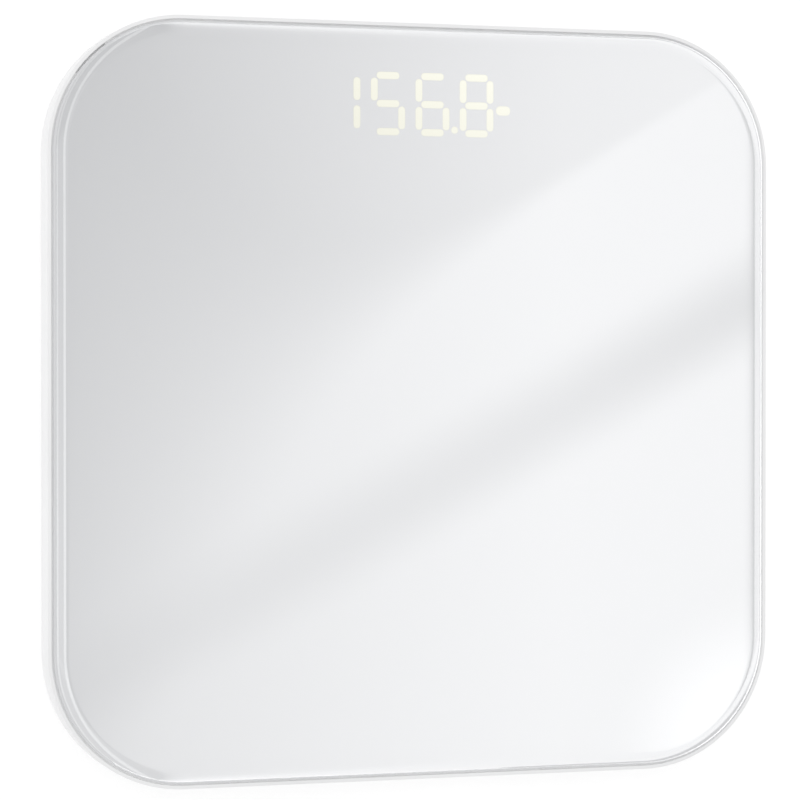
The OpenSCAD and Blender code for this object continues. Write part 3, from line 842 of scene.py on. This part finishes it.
def spring_path(start, finish, centre):
    """Coil about X that narrows from start to finish, with a flat turn at each end."""
    path = []
    steps = SPRING_TURNS * 24
    for k in range(steps + 1):
        t = k / steps
        a, r = math.tau * SPRING_TURNS * t, (SPRING_WIDE + (SPRING_NARROW - SPRING_WIDE) * t) * MM
        along = start + (finish - start) * min(1, max(0, (t - 0.12) / 0.76))
        path.append(Vector((along, centre.y + r * math.cos(a), centre.z + r * math.sin(a))))
    return path


def make_contacts(materials):
    """Sprung contacts at the cells' flat ends, and plates with a pressed ring at their nubs."""
    springs, plates = bmesh.new(), bmesh.new()
    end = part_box("battery_springs")[1].x
    for battery in BATTERIES:
        centre = centre_of(battery)
        side = nub_side(battery)
        cell_end = (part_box(battery)[0] if side > 0 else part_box(battery)[1]).x
        spring_at = Vector((-side * end, centre.y, centre.z))
        plate_at = Vector((side * end, centre.y, centre.z))
        soft_block(springs, (CONTACT_H, CONTACT_W, CONTACT_T), 1, 0.08, facing(spring_at, side))
        soft_block(plates, (CONTACT_H, CONTACT_W, CONTACT_T), 1, 0.08, facing(plate_at, -side))
        lathe(plates, [(r, h, 0) for r, h in PRESSED_RING], plate_at, "X", -side, 32)
        start = -side * (end - (CONTACT_T + SPRING_WIRE) * MM)
        finish = cell_end - side * SPRING_WIRE * MM
        coil = spring_path(start, finish, centre)
        tube(springs, coil, SPRING_WIRE * MM, sides=10, up=Vector((1, 0, 0)))
    for bm, node in ((springs, "battery_springs"), (plates, "battery_plates")):
        bmesh.ops.remove_doubles(bm, verts=bm.verts, dist=0.001 * MM)
        piece_of(node, bm, materials, smooth=50)


POWER_LEAD_R = 0.7 * MM


def make_power_leads(materials):
    for node in ("battery_lead_red", "battery_lead_black"):
        bm = bmesh.new()
        tube(bm, smooth_path(centre_line(node)), POWER_LEAD_R)
        piece_of(node, bm, materials, smooth=60)


# ---------- boards ----------


PIN_T = 0.16
CHIP_LIFT = 0.15


def gull_wing(bm, place, out, height, width):
    """Pin that leaves a chip's side, bends down and ends in a foot."""
    shoulder = [(-0.6, height), (-0.1, height), (0.15, height - 0.1)]
    foot = [(out - 0.55, PIN_T), (out - 0.4, PIN_T / 2), (out, PIN_T / 2)]
    strap(bm, shoulder + foot, width, PIN_T, place, 1)


def chip(node, body, pins, materials):
    """Chip with a spot at its first pin. Each pin is (turn, side, along, reach, width): the side of the
    body that it leaves, its place along that side, how far it reaches and how wide it is."""
    low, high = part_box(node)
    centre = Vector(((low.x + high.x) / 2, (low.y + high.y) / 2, low.z))
    width, depth = body
    height = (high.z - low.z) / MM - CHIP_LIFT
    bm = bmesh.new()
    lifted = Matrix.Translation(centre + Vector((0, 0, CHIP_LIFT * MM)))
    soft_block(bm, (width, depth, height), 0.3, 0.2, lifted)
    for turn, side, along, out, pin_w in pins:
        place = Matrix.Translation(centre) @ Matrix.Rotation(math.radians(turn), 4, "Z")
        gull_wing(bm, place @ Matrix.Translation((side * MM, along * MM, 0)), out, height / 2, pin_w)
    spot = Vector((centre.x - (width / 2 - 1.1) * MM, centre.y + (depth / 2 - 1.0) * MM, high.z))
    lathe(bm, [(0, -0.05, 0), (0.42, -0.05, 0), (0.38, 0.01, 0), (0, 0.01, 0)], spot, segments=24)
    piece_of(node, bm, materials, ("contact_nickel",))


def make_chips(materials):
    square = [(turn, 4.5, k * 1.2, 1.1, 0.5) for turn in (0, 90, 180, 270) for k in range(-3, 4)]
    chip("controller_chip", (9, 9), square, materials)
    double = [(turn, 1.95, (k - 3.5) * 1.27, 1.05, 0.45) for turn in (90, 270) for k in range(8)]
    chip("weighing_chip", (9.9, 3.9), double, materials)


def small_part(bm, at, size):
    """Ceramic part with a tinned cap at each end of its longer side."""
    width, depth, height = size
    long_x = width > depth
    along, thin, cap_share = 0.56, 0.94, 0.23
    inner_w, inner_d = (along, thin) if long_x else (thin, along)
    inner = (width * inner_w, depth * inner_d, height * thin)
    soft_block(bm, inner, 0.1, 0.05, Matrix.Translation(at), 0)
    for side in (-1, 1):
        out = side * (1 - cap_share) / 2
        shift = Vector((out * width, 0, 0) if long_x else (0, out * depth, 0)) * MM
        cap = (width * cap_share, depth, height) if long_x else (width, depth * cap_share, height)
        soft_block(bm, cap, 0.12, 0.06, Matrix.Translation(at + shift), 1)


def make_components(materials):
    """Capacitors and resistors in two rows, the crystal in its can and a round capacitor."""
    board = centre_of("main_board")
    board.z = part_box("main_board")[1].z
    bm = bmesh.new()

    def at(x, y):
        return board + Vector((x, y, 0)) * MM

    for k in range(5):
        small_part(bm, at(8 + 3 * k, 10), (1.2, 2, 0.6))
    for k in range(4):
        small_part(bm, at(-16, 3 * k - 4), (2, 1.2, 0.6))
    soft_block(bm, (11, 4, 0.5), 1.99, 0.1, Matrix.Translation(at(10, 3)), 1)
    soft_block(bm, (10.4, 3.4, 3), 1.69, 0.5, Matrix.Translation(at(10, 3)), 1)
    sleeve = [(0, 0), (2, 0), (2, 0.35), (1.8, 0.5), (2, 0.65), (2, 2.7), (1.75, 3)]
    lathe(bm, [(r, h, 2) for r, h in sleeve] + [(0, 3, 1)], at(6, -6), segments=40)
    piece_of("board_components", bm, materials, ("contact_nickel", "battery_jacket"))


def make_connectors(materials):
    """Ivory headers with three tinned pins each."""
    bm = refined("cell_connectors", 0.15)
    low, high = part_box("cell_connectors")
    board = centre_of("main_board")
    reach_x, reach_y = (high.x - low.x) / 2 / MM - 3.5, (high.y - low.y) / 2 / MM - 2.5
    for sx in (-1, 1):
        for sy in (-1, 1):
            for k in (-1, 0, 1):
                at = board + Vector((sx * (reach_x - 0.6), sy * reach_y + k * 0.95, 0)) * MM
                at.z = low.z
                soft_block(bm, (0.4, 0.4, 2.4), 0.1, 0.08, Matrix.Translation(at), 1)
    piece_of("cell_connectors", bm, materials, ("contact_nickel",))


RIBBON_T, RIBBON_WIRES = 0.3, 16


def make_ribbon(materials):
    """Flat cable of parallel wires, soldered under both boards."""
    low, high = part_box("display_ribbon")
    display_low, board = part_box("display_board")[0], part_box("main_board")
    display_end, board_end = display_low.y, board[1].y
    middle = RIBBON_T / 2 * MM
    under_display, under_board = display_low.z - middle, board[0].z - middle
    line = [Vector(at) for at in (
        (high.y, under_display), (display_end + 1 * MM, under_display),
        (display_end - 1.1 * MM, under_display), (board_end - 1.1 * MM, under_board),
        (board_end - 3 * MM, under_board), (low.y, under_board),
    )]
    steps = 8 * RIBBON_WIRES
    bm = bmesh.new()
    rings = []
    for y, z in line:
        top, bottom = [], []
        for k in range(steps + 1):
            x = low.x + (high.x - low.x) * k / steps
            half = middle * (0.45 + 0.55 * abs(math.sin(math.pi * k / 8)))
            top.append(bm.verts.new((x, y, z + half)))
            bottom.append(bm.verts.new((x, y, z - half)))
        rings.append(top + bottom[::-1])
    skin(bm, rings)
    piece_of("display_ribbon", bm, materials, smooth=50)


# ---------- pieces that keep the CAD's shape, with their edges broken ----------

BEVELS = {
    "glass_adhesive": 0.1,
    "glass_pads": 0.2,
    "display_board": 0.1,
    "display_housing": 0.12,
    "led_light_bars": 0.1,
    "led_chips": 0.12,
    "display_diffuser": 0.05,
    "display_screws": 0.08,
    "board_screws": 0.08,
    "bracket_screws": 0.08,
    "main_board": 0.1,
    "unit_switch_body": 0.25,
    "unit_switch_plunger": 0.25,
    "battery_door": 0.15,
    "door_foam": 0.05,
    "load_cell": 0.12,
    "cell_bracket": 0.15,
    "foot_cup": 0.15,
}


def make_refined(materials):
    for start, bevel in BEVELS.items():
        for node in named(start):
            piece_of(node, refined(node, bevel), materials)


# ---------- stage ----------


def flat_piece(name, half_x, half_y, material):
    """A single level face round the origin."""
    bm = bmesh.new()
    bm.faces.new([
        bm.verts.new((sx * half_x, sy * half_y, 0)) for sx, sy in ((-1, -1), (1, -1), (1, 1), (-1, 1))
    ])
    mesh = bpy.data.meshes.new(name)
    bm.to_mesh(mesh)
    bm.free()
    mesh.materials.append(material)
    piece = bpy.data.objects.new(name, mesh)
    scene.collection.objects.link(piece)
    return piece


FLOOR_HALF, FLOOR_GLOW = 6.0, 0.45


def make_floor():
    """Pale floor, lit evenly from within as a light table is, and seen from above only."""
    m = Shader("floor_pale")
    m.set(Roughness=0.9, Specular_IOR_Level=0.0, Emission_Strength=FLOOR_GLOW)
    m.set(Emission_Color=(1, 1, 1, 1))
    tone = m.noise(1.5, detail=2)
    m.colour(m.mix(m.spread(tone, 0, 1), (0.57, 0.57, 0.57), (0.58, 0.58, 0.58)))
    back = m.node("NewGeometry").outputs["Backfacing"]
    clear = m.node("BsdfTransparent")
    either = m.node("MixShader")
    m.link(back, either.inputs["Fac"])
    m.link(m.bsdf.outputs["BSDF"], either.inputs[1])
    m.link(clear.outputs["BSDF"], either.inputs[2])
    m.link(either.outputs["Shader"], m.output.inputs["Surface"])
    floor = flat_piece("floor", FLOOR_HALF, FLOOR_HALF, m.material)
    floor.visible_shadow = False


HORIZON_GLOW, SKY_GLOW, SKY_FROM = 0.95, 1.0, 0.7


def make_world():
    """Even white surroundings, a touch darker at the horizon than overhead."""
    world = bpy.data.worlds.new("studio")
    scene.world = world
    world.use_nodes = True
    tree = world.node_tree
    background = tree.nodes["Background"]
    coords = tree.nodes.new("ShaderNodeTexCoord")
    split = tree.nodes.new("ShaderNodeSeparateXYZ")
    ramp = tree.nodes.new("ShaderNodeMapRange")
    ramp.interpolation_type = "SMOOTHSTEP"
    ramp.inputs["From Max"].default_value = SKY_FROM
    ramp.inputs["To Min"].default_value = HORIZON_GLOW
    ramp.inputs["To Max"].default_value = SKY_GLOW
    tree.links.new(coords.outputs["Generated"], split.inputs["Vector"])
    tree.links.new(split.outputs["Z"], ramp.inputs["Value"])
    tree.links.new(ramp.outputs["Result"], background.inputs["Strength"])
    background.inputs["Color"].default_value = (1, 1, 1, 1)


def make_lights():
    """One broad soft light overhead and a weaker one from below, for the underside."""
    for name, at, size, power in (
        ("overhead", Vector((-0.6, 0.9, 1.8)), 1.6, 5),
        ("under", Vector((0, 0, -1.2)), 1.5, 3),
    ):
        data = bpy.data.lights.new(name, "AREA")
        data.size = size
        data.energy = power
        lamp = bpy.data.objects.new(name, data)
        scene.collection.objects.link(lamp)
        lamp.location = at
        lamp.rotation_euler = (-at).to_track_quat("-Z", "Y").to_euler()
        lamp.visible_glossy = False
        lamp.visible_transmission = False


CARD_HEIGHT = 1.5
CARD_BASE, CARD_GAIN = 0.47, 0.229
FENCE_X, FENCE_Y, FENCE_HALF, FENCE_FOOT = 5.2, 6.0, 2.2, 0.5
LOW_CARD_HALF, LOW_CARD_REACH = 0.7, 1.5
CARD_REACH_X, CARD_REACH_Y = 2.0, 3.0
PLATE_HALF, PATCH_AT = 140, 137


def give_light(m, strength):
    """Makes the material give off light, a number or a Value. Under it lies a matt layer that faces up
    and has the print's tone, so that the noise filter meets the same surface here as on the print."""
    m.tree.nodes.remove(m.bsdf)
    emission = m.node("Emission")
    if isinstance(strength, Value):
        m.link(strength.socket, emission.inputs["Strength"])
    else:
        emission.inputs["Strength"].default_value = strength
    under = m.node("BsdfDiffuse")
    under.inputs["Color"].default_value = (*PRINT_WHITE, 1)
    upwards = m.node("CombineXYZ")
    upwards.inputs["Z"].default_value = 1.0
    m.link(upwards.outputs["Vector"], under.inputs["Normal"])
    both = m.node("AddShader")
    m.link(emission.outputs["Emission"], both.inputs[0])
    m.link(under.outputs["BSDF"], both.inputs[1])
    m.link(both.outputs["Shader"], m.output.inputs["Surface"])


def slope(value, start, width):
    """0 up to start, 1 from start + width on, and an easy slope between; a negative width mirrors it."""
    return ((value - start) / width).smooth()


def face_light(x, y):
    """What the flat face mirrors: slow growth to the right, less a shaded corner and a slanting band."""

    def across(degrees, offset):
        """Distance past a slanting line, growing to the lower right."""
        a = math.radians(degrees)
        return x * math.sin(a) - y * math.cos(a) + offset

    growth = (12.85 - ((x + 130) / -295.3).exp() * 8.765).at_most(8.15)
    softness = ((x / -50.3).exp() * 30.8).at_least(4)
    corner = (1 - (across(31, 42.7) / softness + 0.5).smooth()) * (2.63 - x * 0.014).at_least(0)
    line = across(28.3, -29.2)
    band = (x * 0.011 + 2.04).at_least(0) * slope(line, -26.2, 26.2) * (1 - slope(line, 0, 24))
    return growth - corner - band


def card_light(m):
    """Brightness of the card at each place, drawn in millimetres of the glass that mirrors it."""
    split = m.node("SeparateXYZ")
    m.link(m.place(), split.inputs["Vector"])
    x, y = Value(m, split.outputs["X"]) / MM, Value(m, split.outputs["Y"]) / MM
    face = face_light(*(v.at_least(-PLATE_HALF).at_most(PLATE_HALF) for v in (x, y)))

    def strip(centre, half_width, height):
        """A bright strip that runs along Y."""
        return (1.6 - (x - centre).size() * (1.1 / half_width)).smooth() * height

    # The lines along the left and right edges end where the corners turn to the front and the rear
    beside = slope(y, -200, 60) * slope(y, 200, -60)
    # Past the left edge: a dark gap, and two bright strips that draw the lines on the glass's shoulder
    outside = slope(x, -145, -8) * beside
    gap = 1 - outside * slope(x, -262, 15)
    strips = strip(-335, 65, 3.3) + strip(-1200, 250, 3)
    # At the right edge: it darkens, and brightens again further out
    darker = (slope(x, 129, 6) * 0.45 + slope(x, 136, 80) * 0.35) * beside
    brighter = slope(x, 230, 190) * (beside * 4.4 + 1.1)
    # A bright patch that washes out the corner at the lower right
    from_x, from_y = x - PATCH_AT, y + PATCH_AT
    away = (from_x * from_x + from_y * from_y).root()
    patch = slope(away, 67.6, -52) * 3.2
    # Far out between the right and the front it fades, so that a low view from the rear still
    # tells the face from the floor
    fade = 1 - slope(x, 300, 500) * slope(y, -300, -500) * 0.85
    pattern = ((face * gap + outside * 0.9 + strips) * (1 - darker) + brighter) * fade + patch
    return pattern.at_least(0) * CARD_GAIN + CARD_BASE


def leave_in_glass(piece):
    """Leaves a stage piece to be seen only as the glass reflects it."""
    piece.visible_camera = False
    piece.visible_diffuse = False
    piece.visible_shadow = False
    piece.visible_transmission = False
    mirrors = bpy.data.collections.get("mirrors") or bpy.data.collections.new("mirrors")
    if "platform" not in mirrors.objects:
        mirrors.objects.link(bpy.data.objects["platform"])
    piece.light_linking.receiver_collection = mirrors


def make_card():
    """Soft white card that the glass mirrors. Its own coordinates are those of the point on the
    glass where the camera sees it."""
    m = Shader("card_light")
    give_light(m, card_light(m))
    grow = CARD_HEIGHT / (CAMERA_AT.z - GLASS_HIGH.z)
    card = flat_piece("card", CARD_REACH_X, CARD_REACH_Y, m.material)
    card.scale = (1 + grow, 1 + grow, 1)
    card.location = (-CAMERA_AT.x * grow, -CAMERA_AT.y * grow, GLASS_HIGH.z + CARD_HEIGHT)
    leave_in_glass(card)


def glow_card(name, half_x, half_y, at, strength, turn=None):
    """Plain lit card that only the glass mirrors."""
    m = Shader(name)
    give_light(m, strength)
    piece = flat_piece(name, half_x, half_y, m.material)
    piece.location = at
    if turn:
        piece.rotation_euler = turn
    leave_in_glass(piece)


def make_fence():
    """Upright cards below the big card's edges, and a low one beside the scale, so that the steep
    outer edge of the glass stays bright at the right, the rear and the front. The upright ones end
    above the floor, so that a view from near the floor still tells the face from it."""
    middle, half = (CARD_HEIGHT + FENCE_FOOT) / 2, (CARD_HEIGHT - FENCE_FOOT) / 2
    upright = math.radians(90)
    glow_card("fence_right", half, FENCE_HALF, (FENCE_X, 0, middle), 1.7, (0, upright, 0))
    glow_card("fence_rear", FENCE_HALF, half, (0, FENCE_Y, middle), 1.5, (upright, 0, 0))
    glow_card("fence_front", FENCE_HALF, half, (0, -FENCE_Y, middle), 3.0, (upright, 0, 0))
    low_at = (TRAY_HIGH.x + 5 * MM + LOW_CARD_HALF, 0, 1 * MM)
    glow_card("low_card", LOW_CARD_HALF, LOW_CARD_REACH, low_at, 2.0)


# ---------- everything ----------

make_camera()
make_floor()
make_world()
make_lights()
MATERIALS = make_materials()
make_glass(MATERIALS)
make_card()
make_fence()
make_print_layer(MATERIALS)
make_digits(MATERIALS)
make_tray(MATERIALS)
make_button(MATERIALS)
for node in named("foot_pad"):
    make_pad(node, MATERIALS)
for node in named("strain_gauge"):
    make_gauge(node, MATERIALS)
for node in named("cell_wires"):
    make_cell_leads(node, MATERIALS)
for node in BATTERIES:
    make_battery(node, MATERIALS)
make_contacts(MATERIALS)
make_power_leads(MATERIALS)
make_chips(MATERIALS)
make_components(MATERIALS)
make_connectors(MATERIALS)
make_ribbon(MATERIALS)
make_refined(MATERIALS)
